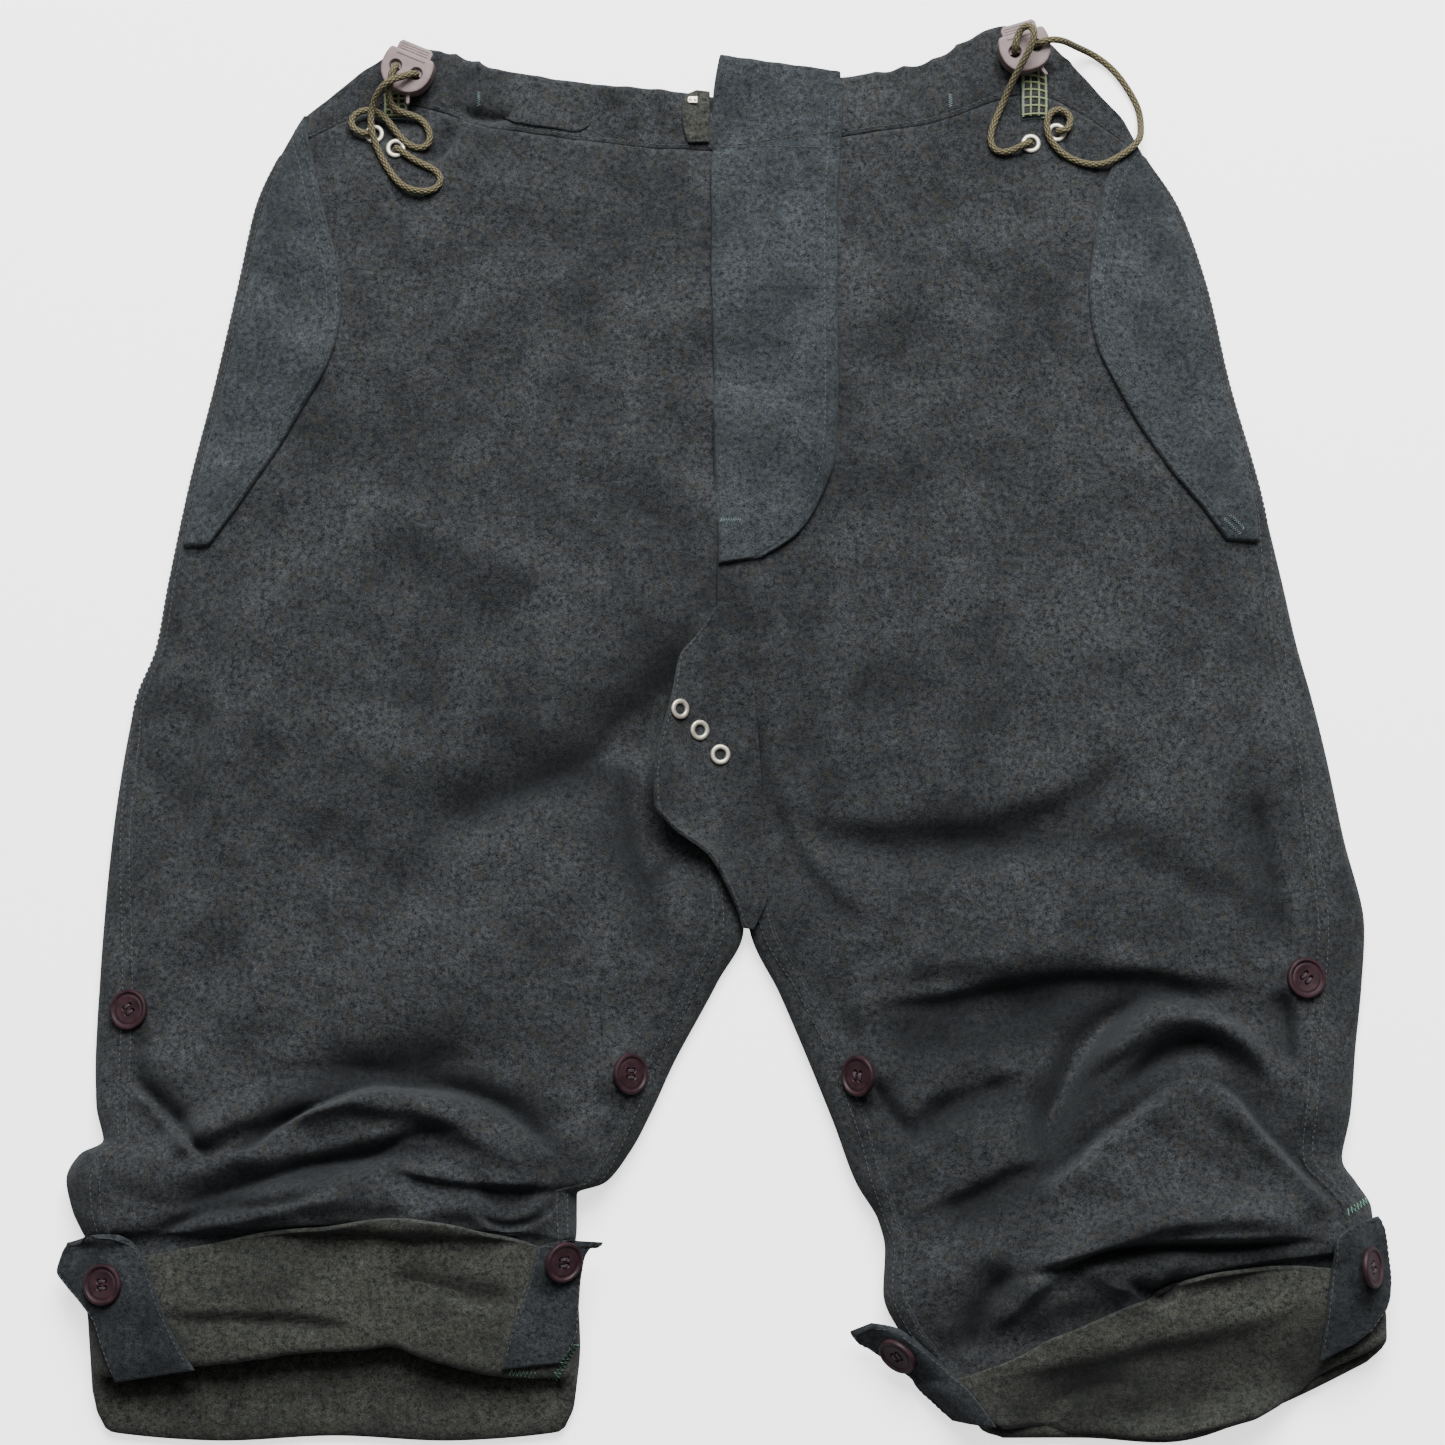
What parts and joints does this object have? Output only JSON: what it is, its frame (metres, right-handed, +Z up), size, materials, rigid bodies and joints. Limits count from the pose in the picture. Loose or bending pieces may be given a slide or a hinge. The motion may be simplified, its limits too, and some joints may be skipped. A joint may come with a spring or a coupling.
{
  "type": "wool trousers",
  "caption": "Dark wool field trousers laid flat with the legs rolled up to the knee, corded waist adjusters, fly placket, side pocket flaps and buttoned cuff tabs.",
  "frame": {"origin": "centre of the laid-out garment on the surface that it lies on", "axes": "+Z up off the surface, +Y towards the waist, -X towards the wearer's right leg"},
  "size_m": [0.6383, 0.6998, 0.0454],
  "materials": {
    "wool": "dark charcoal green-grey fulled wool flannel with fine lighter flecks",
    "facing_wool": "flatter blue-grey wool twill facing",
    "reverse_wool": "olive reverse of the wool flannel",
    "button_plum": "plum-brown moulded resin with a soft shine",
    "eyelet_nickel": "ivory-tinted nickel plate",
    "lock_pink": "dusty pink-grey moulded plastic",
    "lattice_thread": "pale green thread stitched as a lattice",
    "cord_khaki": "khaki braided elastic cord"
  },
  "bodies": {
    "root": {"back_left": "wool", "back_right": "wool", "button_left_inner_leg": "button_plum", "button_left_inner_tab": "button_plum", "button_left_outer_leg": "button_plum", "button_left_outer_tab": "button_plum", "button_right_inner_leg": "button_plum", "button_right_inner_tab": "button_plum", "button_right_outer_leg": "button_plum", "button_right_outer_tab": "button_plum", "casing_patch": "facing_wool", "cord_left_inner": "cord_khaki", "cord_left_outer": "cord_khaki", "cord_lock_left": "lock_pink", "cord_lock_right": "lock_pink", "cord_right_lower": "cord_khaki", "cord_right_upper": "cord_khaki", "cuff_left": "reverse_wool", "cuff_right": "reverse_wool", "eyelet_gusset_1": "eyelet_nickel", "eyelet_gusset_2": "eyelet_nickel", "eyelet_gusset_3": "eyelet_nickel", "eyelet_left_1": "eyelet_nickel", "eyelet_left_2": "eyelet_nickel", "eyelet_right_1": "eyelet_nickel", "eyelet_right_2": "eyelet_nickel", "fly_hook": "eyelet_nickel", "fly_placket": "facing_wool", "fly_underlap": "reverse_wool", "front_left": "wool", "front_right": "wool", "gusset": "wool", "lattice_patch_left": "lattice_thread", "lattice_patch_right": "lattice_thread", "pocket_flap_left": "facing_wool", "pocket_flap_right": "facing_wool", "tab_left_inner": "facing_wool", "tab_left_outer": "facing_wool", "tab_right_inner": "facing_wool", "tab_right_outer": "facing_wool", "waistband_back_left": "wool", "waistband_back_right": "wool", "waistband_front_left": "wool", "waistband_front_right": "wool"},
    "plunger_right": {"lock_plunger_right": "lock_pink"},
    "plunger_left": {"lock_plunger_left": "lock_pink"}
  },
  "joints": [
    {"name": "lock_right_press", "type": "slide", "parent": "root", "child": "plunger_right", "axis": [-0.3898, -0.9183, -0.0698], "range_m": [0, 0.004], "stiffness_N_per_m": 300},
    {"name": "lock_left_press", "type": "slide", "parent": "root", "child": "plunger_left", "axis": [0.2917, -0.954, -0.0698], "range_m": [0, 0.004], "stiffness_N_per_m": 300}
  ]
}
